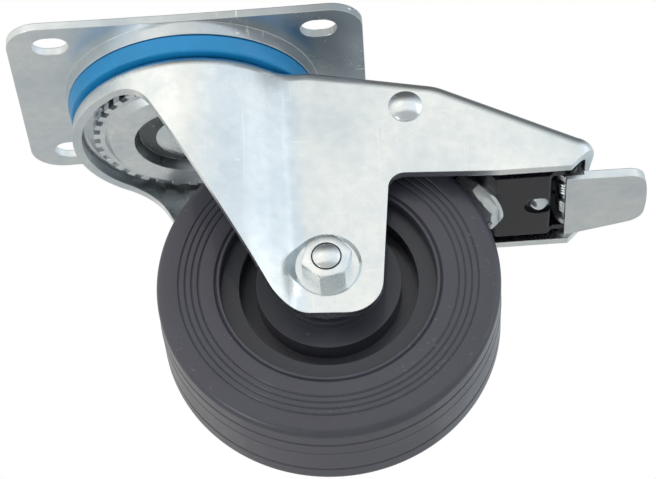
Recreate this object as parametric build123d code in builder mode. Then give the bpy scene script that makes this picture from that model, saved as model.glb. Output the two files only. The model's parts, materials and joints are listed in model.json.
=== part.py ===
# Swivel castor: bolt-on top plate, pressed steel fork, rubber wheel, and a brake that
# stops the wheel and the swivel together.
# The origin is the centre of the top plate's mounting face, on the swivel axis. +Z is up,
# and the wheel trails towards +X, the side that the brake pedal is on. Millimetres.
import os
from math import acos, atan2, cos, hypot, radians, sin, tan

from build123d import *

os.makedirs("parts", exist_ok=True)

# Top plate: one pressed sheet with a drawn cup for the swivel bearing
plate_length = 106.0
plate_width = 79.5
plate_sheet = 2.5
plate_corner_radius = 10.0
plate_edge_hollow = 0.8
slot_spacing_x = 80.0
slot_spacing_y = 60.0
slot_length = 11.0
slot_width = 9.0
cup_radius = 38.6
cup_wall = 2.5
cup_taper = 0.5
cup_bottom_z = -6.5
cup_floor_z = -4.0

# Swivel bearing
upper_ball_radius = 3.175
upper_ball_track = 27.0
upper_ball_count = 20
lower_ball_radius = 2.4
lower_ball_track = 21.0
lower_ball_count = 18
ball_sides = 8
lower_ball_sink = 0.6
track_clearance = 0.12
kingpin_radius = 6.0
kingpin_shoulder_radius = 10.0
kingpin_head_radius = 11.5
kingpin_head_height = 3.2
kingpin_head_bevel_radius = 8.0
kingpin_head_bevel_height = 1.4
kingpin_rivet_radius = 8.5
kingpin_rivet_edge_z = -2.4
kingpin_top_z = -1.6

# Blue dust ring under the cup
ring_top_radius = 37.9
ring_bottom_radius = 36.9
ring_inner_radius = 32.5
ring_bottom_z = -11.6
ring_edge_radius = 0.6

# Toothed lock disc, dished between its rim and its hub
disc_tip_radius = 30.3
disc_root_radius = 27.0
disc_teeth = 36
disc_tooth_gap = 2.6
disc_gap_radius = 28.4
disc_sheet = 2.0
disc_rim_z = -18.2
disc_dish_z = -20.2
disc_hub_z = -17.2
disc_hub_radius = 16.5
disc_dish_radius = 25.0
disc_step = 1.5
disc_bend = 0.8

# Fork: one pressed sheet that makes the crown, the two cheeks and the hood over the brake
fork_sheet = 2.8
crown_radius = 36.7
crown_top_z = -12.0
crown_rim_z = -19.3
crown_hole_radius = 14.5
cheek_half_width = 23.4
crease_x = 29.5
crease_radius = 9.0
nose_x = 118.0
nose_corner_radius = 5.0
hood_start_x = 36.0
hood_knee_x = 73.5
hood_knee_z = -19.7
hood_slope = 27.4
hood_bend_radius = 16.0
hood_edge_radius = 4.2
leg_rim_x = -14.5
leg_rim_fillet = 14.0
window_x = 57.6
window_z = -49.6
window_radius = 5.0
hood_low_x = 89.8
hood_bottom_z = -51.4
hood_bottom_x = 110.7
hood_bottom_radius = 22.0
nose_bottom_z = -44.6
leg_toe_x = 5.5
leg_toe_drop = 5.4
leg_toe_radius = 10.3
leg_heel_x = -5.0
leg_heel_drop = 1.9
leg_heel_radius = 13.2
nose_notch_depth = 2.2
nose_notch_radius = 60.0

# Axle and wheel
trail = 38.0
axle_z = -78.6
wheel_radius = 50.0
tyre_half_width = 15.0
tyre_shoulder_radius = 4.0
tyre_bore = 31.4
tyre_lip = 1.6
rim_half_width = 11.3
rim_recess_radius = 26.0
rim_boss_radius = 21.0
rim_boss_half_width = 12.5
rim_web_half_width = 5.5
hub_radius = 15.0
hub_half_width = 15.5
hub_bore = 10.15
tread_groove_y = 8.0
tread_groove_depth = 0.5
tread_groove_half_width = 0.6
axle_radius = 4.0
axle_tube_radius = 6.0
axle_tube_bore = 4.15
dimple_depth = 1.2
dimple_top_radius = 10.0
dimple_flat_radius = 9.2
dimple_wall = 1.2
dimple_reach_y = 27.0
nut_flats = 13.0
nut_height = 6.5
nut_corner_drop = 0.6
bolt_head_height = 5.3
axle_end_y = -30.0
axle_end_chamfer = 0.8
roller_radius = 2.0
roller_track = 8.08
roller_count = 9
roller_length = 28.0
cage_half_depth = 0.8
washer_radius = 14.0
washer_sheet = 1.6

# Brake
pivot_x = 63.9
pivot_z = -27.6
pivot_radius = 3.0
pivot_head_radius = 5.0
pivot_head_height = 2.4
arm_half_width = 17.2
arm_sheet = 2.4
arm_lug_radius = 4.8
arm_hood_gap = 0.8
arm_beam_x = 66.0
arm_beam_z = -31.8
arm_bend_radius = 8.5
arm_foot_radius = 4.0
arm_bottom_z = -51.0
arm_floor_end_x = 105.0
arm_flange_end_x = 104.5
arm_heel_run = 1.0
arm_nose_angle = 50.0
arm_dimple_x = 101.6
arm_dimple_radius = 4.4
arm_dimple_depth = 1.0
brake_axis_angle = 42.0
brake_face_x = 81.6
brake_face_z = -49.6
brake_head_flats = 16.0
brake_head_height = 3.2
brake_corner_drop = 0.5
brake_washer_radius = 9.0
brake_washer_height = 1.2
brake_bolt_radius = 3.0
brake_bolt_length = 14.0
brake_nut_flats = 10.0
brake_nut_height = 4.0
tongue_end_x = 41.0
tongue_half_width = 9.0
tongue_corner = 2.0
tongue_top_z = -22.8
tongue_thickness = 2.4
pawl_tip_x = 29.3
pawl_tip_depth = 1.7
pawl_tip_width = 1.6
pawl_tip_z = -18.9
pawl_sheet = 1.8
pawl_half_width = 6.5
pawl_corner = 0.8
pawl_end_x = 54.0
pawl_rivet_x = 48.5
pawl_rivet_radius = 2.0
floor_rivet_radius = 1.6
small_rivet_rim = 1.4
small_rivet_height = 1.0
pin_x = 110.3
pin_z = -46.6
pin_radius = 1.8
pin_head_rim = 0.9
pin_head_height = 1.1
lug_radius = 3.0
rivet_taper = 24.0

# Pedal
pedal_sheet = 1.6
pedal_rim_height = 2.8
pedal_rim_sheet = 1.8
pedal_rim_start = 5.4
pedal_start_x = 109.4
pedal_bottom_z = -52.3
pedal_rise = 4.6
pedal_length = 24.4
pedal_root_half_width = 16.5
pedal_tip_half_width = 13.0
pedal_end_bulge = 1.2
pedal_corner_radius = 6.0
pedal_ear_sheet = 2.4
pedal_ear_y = 13.8
pedal_ear_radius = 3.4
pedal_ear_end = 7.0
cam_x = 104.8
cam_z = -41.3
cam_radius = 1.5
coil_radius = 2.7
wire_radius = 0.5
wire_sides = 4
coil_inner_y = 2.6
coil_turns = 4
coil_gap = 0.35

# Fits: a running pin, a bolt in its hole, a thread in its nut and a tight rivet
running_clearance = 0.06
hole_clearance = 0.1
thread_clearance = 0.05
rivet_clearance = 0.02

upper_ball_z = (cup_bottom_z + crown_top_z) / 2
lower_ball_z = crown_top_z - fork_sheet + lower_ball_sink - lower_ball_radius
cheek_inner = cheek_half_width - fork_sheet
dimple_seat = cheek_half_width - dimple_depth
dimple_inner = cheek_inner - dimple_depth
dimple_slope = (dimple_top_radius - dimple_flat_radius) / dimple_depth
dimple_reach_radius = dimple_flat_radius + (dimple_reach_y - dimple_seat) * dimple_slope
washer_y = (hub_half_width + dimple_inner) / 2
brake_seat = brake_head_height + brake_washer_height
coil_pitch = 2 * wire_radius + coil_gap
nut_corner_radius = nut_flats / 3 ** 0.5 + hole_clearance
brake_corner_radius = brake_head_flats / 3 ** 0.5 + hole_clearance


def finish(piece, name):
    """Label a finished piece and write it to its own file."""
    piece.part.label = name
    export_step(piece.part, f"parts/{name}.step")


def hood_top(x):
    """Height of the hood's outer face on its long slope, behind the knee."""
    return hood_knee_z - (x - hood_knee_x) * tan(radians(hood_slope))


axle_axis = Axis((trail, 0, axle_z), (0, 1, 0))
axle_section = Plane(origin=(trail, 0, axle_z), x_dir=(1, 0, 0), z_dir=(0, 0, 1))
axle_plane = Plane(origin=(trail, 0, axle_z), x_dir=(1, 0, 0), z_dir=(0, -1, 0))
pivot_plane = Plane(origin=(pivot_x, 0, pivot_z), x_dir=(1, 0, 0), z_dir=(0, -1, 0))
pin_plane = Plane(origin=(pin_x, 0, pin_z), x_dir=(1, 0, 0), z_dir=(0, -1, 0))
brake_face = Vector(brake_face_x, 0, brake_face_z)
brake_direction = Vector(cos(radians(brake_axis_angle)), 0, sin(radians(brake_axis_angle)))
brake_across = Vector(sin(radians(brake_axis_angle)), 0, -cos(radians(brake_axis_angle)))
brake_section = Plane(origin=brake_face, x_dir=brake_across, z_dir=brake_across.cross(brake_direction))


def brake_plane(distance):
    """Plane square to the brake bolt, at a distance behind its ridged face."""
    origin = brake_face + brake_direction * distance
    return Plane(origin=origin, x_dir=(0, 1, 0), z_dir=brake_direction)


def seat_x(z, distance):
    """X at height z on the plane square to the brake bolt, a distance behind its face."""
    across = distance - (z - brake_face_z) * sin(radians(brake_axis_angle))
    return brake_face_x + across / cos(radians(brake_axis_angle))


# Top plate
cup_inner_radius = cup_radius - cup_wall
with BuildPart() as top_plate:
    with BuildSketch(Plane.XY.offset(-plate_sheet)) as plate_outline:
        with BuildLine():
            half_length = plate_length / 2
            half_width = plate_width / 2
            near_edge = ThreePointArc(
                (-half_length, -half_width),
                (0, plate_edge_hollow - half_width),
                (half_length, -half_width),
            )
            far_edge = ThreePointArc(
                (-half_length, half_width),
                (0, half_width - plate_edge_hollow),
                (half_length, half_width),
            )
            Line(near_edge @ 0, far_edge @ 0)
            Line(near_edge @ 1, far_edge @ 1)
        make_face()
        fillet(plate_outline.vertices(), plate_corner_radius)
        with GridLocations(slot_spacing_x, slot_spacing_y, 2, 2):
            SlotOverall(slot_length, slot_width, mode=Mode.SUBTRACT)
        Circle(cup_inner_radius, mode=Mode.SUBTRACT)
    extrude(amount=plate_sheet)
    with BuildSketch(Plane.XZ):
        with BuildLine():
            Polyline(
                (kingpin_radius, cup_floor_z),
                (cup_inner_radius, cup_floor_z),
                (cup_inner_radius, 0),
                (cup_radius, -plate_sheet),
                (cup_radius - cup_taper, cup_bottom_z),
                (kingpin_radius, cup_bottom_z),
                close=True,
            )
        make_face()
        with Locations((upper_ball_track, upper_ball_z)):
            Circle(upper_ball_radius + track_clearance, mode=Mode.SUBTRACT)
    revolve(axis=Axis.Z)
finish(top_plate, "top_plate")

# Dust ring
with BuildPart() as dust_ring:
    with BuildSketch(Plane.XZ):
        with BuildLine():
            Polyline(
                (ring_inner_radius, cup_bottom_z),
                (ring_top_radius, cup_bottom_z),
                (ring_bottom_radius, ring_bottom_z),
                (ring_inner_radius, ring_bottom_z),
                close=True,
            )
        make_face()
    revolve(axis=Axis.Z)
    rims = dust_ring.edges().filter_by(GeomType.CIRCLE)
    fillet(rims.filter_by(lambda edge: edge.radius > ring_inner_radius + 1), ring_edge_radius)
finish(dust_ring, "dust_ring")

# Kingpin: shouldered, peened over the cup's floor and headed under the lock disc
kingpin_bottom_z = disc_hub_z - kingpin_head_height
with BuildPart() as kingpin:
    with BuildSketch(Plane.XZ):
        with BuildLine():
            Polyline(
                (0, kingpin_top_z),
                (kingpin_rivet_radius, kingpin_rivet_edge_z),
                (kingpin_rivet_radius, cup_floor_z),
                (kingpin_radius, cup_floor_z),
                (kingpin_radius, cup_bottom_z),
                (kingpin_shoulder_radius, cup_bottom_z),
                (kingpin_shoulder_radius, disc_hub_z + disc_sheet),
                (kingpin_radius, disc_hub_z + disc_sheet),
                (kingpin_radius, disc_hub_z),
                (kingpin_head_radius, disc_hub_z),
                (kingpin_head_radius, kingpin_bottom_z + kingpin_head_bevel_height),
                (kingpin_head_bevel_radius, kingpin_bottom_z),
                (0, kingpin_bottom_z),
                close=True,
            )
        make_face()
    revolve(axis=Axis.Z)
finish(kingpin, "kingpin")

# Lock disc
with BuildPart() as lock_disc:
    with BuildSketch(Plane.XZ):
        with BuildLine():
            Polyline(
                (kingpin_radius, disc_hub_z),
                (disc_hub_radius, disc_hub_z),
                (disc_hub_radius + disc_step, disc_dish_z),
                (disc_dish_radius, disc_dish_z),
                (disc_root_radius, disc_rim_z),
                (disc_tip_radius, disc_rim_z),
                (disc_tip_radius, disc_rim_z + disc_sheet),
                (disc_root_radius - disc_bend, disc_rim_z + disc_sheet),
                (disc_dish_radius - disc_bend, disc_dish_z + disc_sheet),
                (disc_hub_radius + disc_step + disc_bend, disc_dish_z + disc_sheet),
                (disc_hub_radius + disc_bend, disc_hub_z + disc_sheet),
                (kingpin_radius, disc_hub_z + disc_sheet),
                close=True,
            )
        make_face()
        with Locations((lower_ball_track, lower_ball_z)):
            Circle(lower_ball_radius + track_clearance, mode=Mode.SUBTRACT)
    revolve(axis=Axis.Z)
    with BuildSketch(Plane.XY.offset(disc_rim_z - disc_sheet)):
        with PolarLocations(disc_gap_radius, disc_teeth):
            Rectangle(disc_tip_radius, disc_tooth_gap, align=(Align.MIN, Align.CENTER))
    extrude(amount=3 * disc_sheet, mode=Mode.SUBTRACT)
finish(lock_disc, "lock_disc")



def ball(radius):
    """One bearing ball, cut with flat facets because the two hidden rows repeat it often."""
    with BuildPart() as cut:
        with BuildSketch(Plane.XY):
            RegularPolygon(radius, ball_sides)
        extrude(amount=radius, both=True)
        for plane in (Plane.XZ, Plane.YZ):
            with BuildSketch(plane):
                RegularPolygon(radius, ball_sides)
            extrude(amount=radius, both=True, mode=Mode.INTERSECT)
    return cut.part


# Balls of the swivel bearing: one row above the crown and one below it
upper_ball = ball(upper_ball_radius)
with BuildPart() as upper_balls:
    with Locations((0, 0, upper_ball_z)):
        with PolarLocations(upper_ball_track, upper_ball_count):
            add(upper_ball)
finish(upper_balls, "upper_balls")

lower_ball = ball(lower_ball_radius)
with BuildPart() as lower_balls:
    with Locations((0, 0, lower_ball_z)):
        with PolarLocations(lower_ball_track, lower_ball_count):
            add(lower_ball)
finish(lower_balls, "lower_balls")


def fork_outline(inset):
    """Plan of the fork: round crown, angled panels, straight cheeks and a blunt nose."""
    radius = crown_radius - inset
    half = cheek_half_width - inset
    touch = atan2(half, crease_x) + acos(radius / hypot(crease_x, half))
    touch_x = radius * cos(touch)
    touch_y = radius * sin(touch)
    end_x = nose_x - inset
    with BuildSketch() as outline:
        Circle(radius)
        with BuildLine():
            Polyline(
                (0, 0),
                (touch_x, touch_y),
                (crease_x, half),
                (end_x, half),
                (end_x, -half),
                (crease_x, -half),
                (touch_x, -touch_y),
                close=True,
            )
        make_face()
        corners = outline.vertices().filter_by_position(Axis.X, end_x - 0.1, end_x + 0.1)
        fillet(corners, nose_corner_radius - inset)
        creases = outline.vertices().filter_by_position(Axis.X, crease_x - 0.1, crease_x + 0.1)
        fillet(creases, crease_radius)
    return outline.sketch


def hood_profile(inset):
    """Side view of all that lies under the crown and hood, drawn in by the sheet for the inside."""
    far = 60.0
    with BuildSketch() as profile:
        with BuildLine():
            Polyline(
                (-far, crown_top_z),
                (hood_start_x, crown_top_z),
                (hood_knee_x, hood_knee_z),
                (nose_x + far, hood_top(nose_x + far)),
                (nose_x + far, 3 * axle_z),
                (-far, 3 * axle_z),
                close=True,
            )
        make_face()
        knees = profile.vertices().filter_by_position(Axis.X, hood_start_x - 1, hood_knee_x + 1)
        fillet(knees, hood_bend_radius)
        if inset:
            offset(amount=-inset, kind=Kind.INTERSECTION, mode=Mode.REPLACE)
    return profile.sketch


def fork_form(inset):
    """Solid with the fork's outside form, or its inside form when inset by the sheet."""
    with BuildPart() as form:
        with BuildSketch(Plane.XY.offset(2 * axle_z)):
            add(fork_outline(inset))
        extrude(amount=-2 * axle_z)
        with BuildSketch(Plane.XZ):
            add(hood_profile(inset))
        extrude(amount=2 * crown_radius, both=True, mode=Mode.INTERSECT)
        upper = form.edges().filter_by(lambda edge: edge.center().Z > hood_bottom_z)
        middle = upper.filter_by(lambda edge: abs(edge.center().Y) < 1)
        across = middle.filter_by_position(Axis.X, 0, nose_x - nose_corner_radius)
        rising = upper.filter_by(Axis.Z)
        rim = [edge for edge in upper if edge not in across and edge not in rising]
        fillet(rim, hood_edge_radius - inset)
    return form.part


# Fork
with BuildPart() as fork:
    add(fork_form(0))
    add(fork_form(fork_sheet), mode=Mode.SUBTRACT)
    with BuildSketch(Plane.XZ) as side_view:
        with BuildLine():
            CenterArc((trail + leg_toe_x, axle_z - leg_toe_drop), leg_toe_radius, 0, 360)
            CenterArc((trail + leg_heel_x, axle_z - leg_heel_drop), leg_heel_radius, 0, 360)
            Line((leg_rim_x, crown_rim_z), (window_x, window_z))
        make_hull()
        with BuildLine():
            Polyline(
                (-2 * crown_radius, 0),
                (-2 * crown_radius, crown_rim_z),
                (leg_rim_x, crown_rim_z),
                (window_x, window_z),
                (hood_low_x, hood_bottom_z),
                (hood_bottom_x, hood_bottom_z),
                (nose_x, nose_bottom_z),
                (nose_x + fork_sheet, nose_bottom_z),
                (nose_x + fork_sheet, 0),
                close=True,
            )
        make_face()
        for corner, radius in (
            ((leg_rim_x, 0, crown_rim_z), leg_rim_fillet),
            ((window_x, 0, window_z), window_radius),
            ((hood_bottom_x, 0, hood_bottom_z), hood_bottom_radius),
        ):
            fillet(side_view.vertices().sort_by_distance(corner)[0], radius)
    extrude(amount=2 * crown_radius, both=True, mode=Mode.INTERSECT)
    # Hollow in the hood's front edge, above the pedal
    with BuildSketch(Plane.XY.offset(nose_bottom_z - 2 * fork_sheet)):
        with Locations((nose_x - nose_notch_depth + nose_notch_radius, 0)):
            Circle(nose_notch_radius)
    extrude(amount=4 * fork_sheet, mode=Mode.SUBTRACT)
    # Dimples pressed inwards round the axle holes, for the nut and the bolt head
    with BuildSketch(axle_section):
        for side in (-1, 1):
            with BuildLine():
                Polyline(
                    (0, side * (cheek_half_width - dimple_wall)),
                    (dimple_top_radius + dimple_wall, side * (cheek_half_width - dimple_wall)),
                    (dimple_top_radius + dimple_wall, side * cheek_inner),
                    (dimple_flat_radius + dimple_wall, side * dimple_inner),
                    (0, side * dimple_inner),
                    close=True,
                )
            make_face()
    revolve(axis=axle_axis)
    with BuildSketch(axle_section):
        for side in (-1, 1):
            with BuildLine():
                Polyline(
                    (0, side * dimple_reach_y),
                    (dimple_reach_radius, side * dimple_reach_y),
                    (dimple_flat_radius, side * dimple_seat),
                    (0, side * dimple_seat),
                    close=True,
                )
            make_face()
    revolve(axis=axle_axis, mode=Mode.SUBTRACT)
    with BuildSketch(axle_plane):
        Circle(axle_radius + hole_clearance)
    extrude(amount=crown_radius, both=True, mode=Mode.SUBTRACT)
    with BuildSketch(pivot_plane):
        Circle(pivot_radius + rivet_clearance)
    extrude(amount=crown_radius, both=True, mode=Mode.SUBTRACT)
    # Crown hole, and the two ball tracks pressed into the crown
    with BuildSketch(Plane.XZ):
        with Locations((upper_ball_track, upper_ball_z)):
            Circle(upper_ball_radius + track_clearance)
        with Locations((lower_ball_track, lower_ball_z)):
            Circle(lower_ball_radius + track_clearance)
    revolve(axis=Axis.Z, mode=Mode.SUBTRACT)
    with BuildSketch(Plane.XY.offset(crown_rim_z)):
        Circle(crown_hole_radius)
    extrude(amount=-crown_rim_z, mode=Mode.SUBTRACT)
finish(fork, "fork")

# Axle: bolt from the far side, nut on the near side, and the tube that spaces the cheeks
with BuildPart() as axle_bolt:
    with BuildSketch(Plane.XZ.offset(-dimple_seat - bolt_head_height)):
        with Locations((trail, axle_z)):
            RegularPolygon(nut_flats / 2, 6, major_radius=False)
    extrude(amount=bolt_head_height)
    with BuildSketch(Plane.XZ.offset(-dimple_seat)):
        with Locations((trail, axle_z)):
            Circle(axle_radius)
    extrude(amount=dimple_seat - axle_end_y)
    chamfer(axle_bolt.faces().sort_by(Axis.Y)[0].edges(), axle_end_chamfer)
    with BuildSketch(axle_section):
        with BuildLine():
            Polyline(
                (nut_flats / 2, dimple_seat + bolt_head_height),
                (nut_corner_radius, dimple_seat + bolt_head_height - nut_corner_drop),
                (nut_corner_radius, dimple_seat + bolt_head_height),
                close=True,
            )
        make_face()
    revolve(axis=axle_axis, mode=Mode.SUBTRACT)
finish(axle_bolt, "axle_bolt")

with BuildPart() as axle_nut:
    with BuildSketch(Plane.XZ.offset(dimple_seat)):
        with Locations((trail, axle_z)):
            RegularPolygon(nut_flats / 2, 6, major_radius=False)
            Circle(axle_radius + thread_clearance, mode=Mode.SUBTRACT)
    extrude(amount=nut_height)
    with BuildSketch(axle_section):
        with BuildLine():
            Polyline(
                (nut_flats / 2, -dimple_seat - nut_height),
                (nut_corner_radius, nut_corner_drop - dimple_seat - nut_height),
                (nut_corner_radius, -dimple_seat - nut_height),
                close=True,
            )
        make_face()
    revolve(axis=axle_axis, mode=Mode.SUBTRACT)
finish(axle_nut, "axle_nut")

with BuildPart() as axle_tube:
    with BuildSketch(axle_plane):
        Circle(axle_tube_radius)
        Circle(axle_tube_bore, mode=Mode.SUBTRACT)
    extrude(amount=dimple_inner, both=True)
finish(axle_tube, "axle_tube")

# Wheel: rubber tyre bonded to a moulded centre
with BuildPart() as tyre:
    with BuildSketch(axle_section) as tyre_section:
        with BuildLine():
            Polyline(
                (tyre_bore, -rim_half_width),
                (tyre_bore + tyre_lip, -rim_half_width - tyre_lip),
                (tyre_bore + 2 * tyre_lip, -tyre_half_width),
                (wheel_radius, -tyre_half_width),
                (wheel_radius, tyre_half_width),
                (tyre_bore + 2 * tyre_lip, tyre_half_width),
                (tyre_bore + tyre_lip, rim_half_width + tyre_lip),
                (tyre_bore, rim_half_width),
                close=True,
            )
        make_face()
        shoulders = tyre_section.vertices().sort_by(Axis.X)[-2:]
        fillet(shoulders, tyre_shoulder_radius)
        with Locations((wheel_radius, -tread_groove_y), (wheel_radius, tread_groove_y)):
            Rectangle(2 * tread_groove_depth, 2 * tread_groove_half_width, mode=Mode.SUBTRACT)
    revolve(axis=axle_axis)
finish(tyre, "tyre")

with BuildPart() as wheel_centre:
    with BuildSketch(axle_section):
        with BuildLine():
            Polyline(
                (hub_bore, 0),
                (hub_bore, -hub_half_width),
                (hub_radius, -hub_half_width),
                (hub_radius, -rim_boss_half_width),
                (rim_boss_radius, -rim_boss_half_width),
                (rim_boss_radius, -rim_web_half_width),
                (rim_recess_radius, -rim_web_half_width),
                (rim_recess_radius, -rim_half_width),
                (tyre_bore, -rim_half_width),
                (tyre_bore, 0),
            )
            mirror(about=Plane.XZ)
        make_face()
    revolve(axis=axle_axis)
finish(wheel_centre, "wheel_centre")

with BuildPart(axle_plane) as bearing_rollers:
    with PolarLocations(roller_track, roller_count):
        Cylinder(roller_radius, roller_length)
finish(bearing_rollers, "bearing_rollers")

with BuildPart() as bearing_cage:
    with BuildSketch(axle_plane):
        Circle(roller_track + cage_half_depth)
        Circle(roller_track - cage_half_depth, mode=Mode.SUBTRACT)
    extrude(amount=hub_half_width, both=True)
    with BuildSketch(axle_plane):
        with PolarLocations(roller_track, roller_count):
            Circle(roller_radius + track_clearance)
    extrude(amount=roller_length / 2 + track_clearance, both=True, mode=Mode.SUBTRACT)
finish(bearing_cage, "bearing_cage")

with BuildPart() as hub_washers:
    for side in (-1, 1):
        with BuildSketch(Plane.XZ.offset(side * washer_y)):
            with Locations((trail, axle_z)):
                Circle(washer_radius)
                Circle(axle_tube_radius + hole_clearance, mode=Mode.SUBTRACT)
        extrude(amount=washer_sheet / 2, both=True)
finish(hub_washers, "hub_washers")

# Brake pivot: a rivet through both cheeks
with BuildPart() as brake_pivot:
    with BuildSketch(pivot_plane):
        Circle(pivot_radius)
    extrude(amount=cheek_half_width, both=True)
    for side in (-1, 1):
        with BuildSketch(Plane.XZ.offset(side * cheek_half_width)):
            with Locations((pivot_x, pivot_z)):
                Circle(pivot_head_radius)
        extrude(amount=side * pivot_head_height, taper=rivet_taper)
finish(brake_pivot, "brake_pivot")

# Brake arm: a black trough hung on the pivot, under the hood. Its skin runs along the
# pivot, down a sloping seat for the brake bolt and along a floor to the pedal's pin.
hood_drop = fork_sheet / cos(radians(hood_slope)) + arm_hood_gap
inner_beam_z = arm_beam_z + arm_sheet
inner_floor_z = arm_bottom_z + arm_sheet
inner_seat = brake_seat + arm_sheet
with BuildPart() as brake_arm:
    with BuildSketch(Plane.XZ) as arm_side:
        with BuildLine():
            nose_lean = radians(arm_nose_angle)
            Polyline(
                (pivot_x, pivot_z + arm_lug_radius),
                (hood_knee_x, hood_knee_z - hood_drop),
                (arm_flange_end_x, hood_top(arm_flange_end_x) - hood_drop),
                (pin_x + lug_radius * sin(nose_lean), pin_z + lug_radius * cos(nose_lean)),
                (pin_x, pin_z - lug_radius),
                (arm_floor_end_x + arm_heel_run, pin_z - lug_radius),
                (arm_flange_end_x, arm_bottom_z),
                (seat_x(arm_bottom_z, brake_seat), arm_bottom_z),
                (seat_x(arm_beam_z, brake_seat), arm_beam_z),
                (arm_beam_x, arm_beam_z),
                (pivot_x, pivot_z - arm_lug_radius),
                close=True,
            )
        make_face()
        foot = (seat_x(arm_bottom_z, brake_seat), 0, arm_bottom_z)
        fillet(arm_side.vertices().sort_by_distance(foot)[0], arm_foot_radius)
        bend = (seat_x(arm_beam_z, brake_seat), 0, arm_beam_z)
        fillet(arm_side.vertices().sort_by_distance(bend)[0], arm_bend_radius)
        with Locations((pivot_x, pivot_z)):
            Circle(arm_lug_radius)
        with Locations((pin_x, pin_z)):
            Circle(lug_radius)
    extrude(amount=arm_half_width, both=True)
    with BuildSketch(Plane.XZ) as arm_inside:
        with BuildLine():
            Polyline(
                (pivot_x - 2 * arm_lug_radius, 0),
                (pivot_x - 2 * arm_lug_radius, inner_beam_z),
                (seat_x(inner_beam_z, inner_seat), inner_beam_z),
                (seat_x(inner_floor_z, inner_seat), inner_floor_z),
                (arm_floor_end_x, inner_floor_z),
                (arm_floor_end_x, arm_bottom_z - 2 * lug_radius),
                (pin_x + 2 * lug_radius, arm_bottom_z - 2 * lug_radius),
                (pin_x + 2 * lug_radius, 0),
                close=True,
            )
        make_face()
        foot = (seat_x(inner_floor_z, inner_seat), 0, inner_floor_z)
        fillet(arm_inside.vertices().sort_by_distance(foot)[0], arm_foot_radius - arm_sheet)
        bend = (seat_x(inner_beam_z, inner_seat), 0, inner_beam_z)
        fillet(arm_inside.vertices().sort_by_distance(bend)[0], arm_bend_radius + arm_sheet)
        with Locations((pivot_x, pivot_z)):
            Circle(arm_lug_radius, mode=Mode.SUBTRACT)
    extrude(amount=arm_half_width - arm_sheet, both=True, mode=Mode.SUBTRACT)
    with BuildSketch(Plane.XY.offset(tongue_top_z - tongue_thickness)):
        with Locations(((tongue_end_x + pivot_x) / 2, 0)):
            RectangleRounded(pivot_x - tongue_end_x, 2 * tongue_half_width, tongue_corner)
    extrude(amount=tongue_thickness)
    with BuildSketch(brake_plane(brake_seat)):
        Circle(brake_bolt_radius + hole_clearance)
    extrude(amount=arm_sheet, mode=Mode.SUBTRACT)
    with BuildSketch(pivot_plane):
        Circle(pivot_radius + running_clearance)
    extrude(amount=arm_half_width, both=True, mode=Mode.SUBTRACT)
    with BuildSketch(pin_plane):
        Circle(pin_radius + rivet_clearance)
    extrude(amount=arm_half_width, both=True, mode=Mode.SUBTRACT)
    with BuildSketch(Plane.XY.offset(tongue_top_z)):
        with Locations((pawl_rivet_x, 0)):
            Circle(pawl_rivet_radius + rivet_clearance)
    extrude(amount=-tongue_thickness, mode=Mode.SUBTRACT)
    # Dimple and hole for the rivet in the floor
    with BuildSketch(Plane.XY.offset(arm_bottom_z)):
        with Locations((arm_dimple_x, 0)):
            Circle(arm_dimple_radius)
    extrude(amount=arm_dimple_depth, mode=Mode.SUBTRACT)
    with BuildSketch(Plane.XY.offset(arm_bottom_z)):
        with Locations((arm_dimple_x, 0)):
            Circle(floor_rivet_radius + rivet_clearance)
    extrude(amount=arm_sheet, mode=Mode.SUBTRACT)
finish(brake_arm, "brake_arm")

# Brake bolt: its ridged head meets the tread, and its lock nut is inside the arm
with BuildPart() as brake_bolt:
    with BuildSketch(brake_plane(0)):
        RegularPolygon(brake_head_flats / 2, 6, major_radius=False)
    extrude(amount=brake_head_height)
    with BuildSketch(brake_plane(brake_head_height)):
        Circle(brake_bolt_radius)
    extrude(amount=brake_bolt_length)
    with BuildSketch(brake_section):
        with BuildLine():
            Polyline(
                (brake_head_flats / 2, 0),
                (brake_corner_radius, brake_corner_drop),
                (brake_corner_radius, 0),
                close=True,
            )
        make_face()
    revolve(axis=Axis(brake_face, brake_direction), mode=Mode.SUBTRACT)
finish(brake_bolt, "brake_bolt")

with BuildPart() as brake_washer:
    with BuildSketch(brake_plane(brake_head_height)):
        Circle(brake_washer_radius)
        Circle(brake_bolt_radius + hole_clearance, mode=Mode.SUBTRACT)
    extrude(amount=brake_washer_height)
finish(brake_washer, "brake_washer")

with BuildPart() as brake_lock_nut:
    with BuildSketch(brake_plane(inner_seat)):
        RegularPolygon(brake_nut_flats / 2, 6, major_radius=False)
        Circle(brake_bolt_radius + thread_clearance, mode=Mode.SUBTRACT)
    extrude(amount=brake_nut_height)
finish(brake_lock_nut, "brake_lock_nut")

# Lock pawl: a steel tongue whose bent tip rises between two teeth of the disc
with BuildPart() as lock_pawl:
    with BuildSketch(Plane.XY.offset(tongue_top_z)):
        with Locations(((pawl_tip_x + pawl_end_x) / 2, 0)):
            RectangleRounded(pawl_end_x - pawl_tip_x, 2 * pawl_half_width, pawl_corner)
    extrude(amount=pawl_sheet)
    with BuildSketch(Plane.XY.offset(tongue_top_z)):
        with Locations((pawl_tip_x + pawl_tip_depth / 2, 0)):
            Rectangle(pawl_tip_depth, pawl_tip_width)
    extrude(amount=pawl_tip_z - tongue_top_z)
    with BuildSketch(Plane.XY.offset(tongue_top_z)):
        with Locations((pawl_rivet_x, 0)):
            Circle(pawl_rivet_radius + rivet_clearance)
    extrude(amount=pawl_sheet, mode=Mode.SUBTRACT)
finish(lock_pawl, "lock_pawl")

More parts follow.
